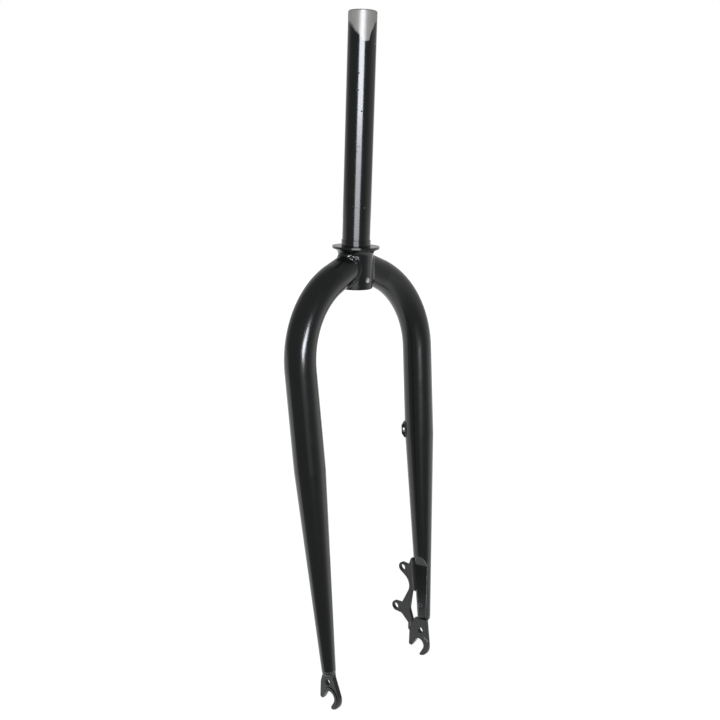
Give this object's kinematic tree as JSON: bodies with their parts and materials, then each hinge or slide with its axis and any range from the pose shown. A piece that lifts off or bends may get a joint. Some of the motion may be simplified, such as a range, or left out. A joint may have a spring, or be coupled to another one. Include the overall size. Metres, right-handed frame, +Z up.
{
  "type": "bicycle fork",
  "caption": "Rigid steel fork for a fat-tyre bicycle: straight steerer, arched tapered blades, open slot dropouts and a tab for a disc caliper.",
  "frame": {"origin": "on the steering axis, on the shelf that carries the lower headset race", "axes": "+Z up the steering axis toward the stem, +X to the rider's left where the caliper tab is, -Y forward"},
  "size_m": [0.205, 0.089, 0.6928],
  "materials": {
    "black_paint": "satin black paint over steel",
    "steerer_finish": "thin satin black paint, worn to bare steel at the top"
  },
  "bodies": {
    "root": {"steerer_tube": "steerer_finish", "crown_sleeve": "steerer_finish", "left_blade": "black_paint", "right_blade": "black_paint", "left_dropout": "black_paint", "right_dropout": "black_paint", "disc_brake_tab": "black_paint", "hose_guide": "black_paint", "left_crown_weld": "black_paint", "right_crown_weld": "black_paint", "left_dropout_weld": "black_paint", "right_dropout_weld": "black_paint", "upper_tab_weld": "black_paint", "lower_tab_weld": "black_paint"}
  },
  "joints": []
}
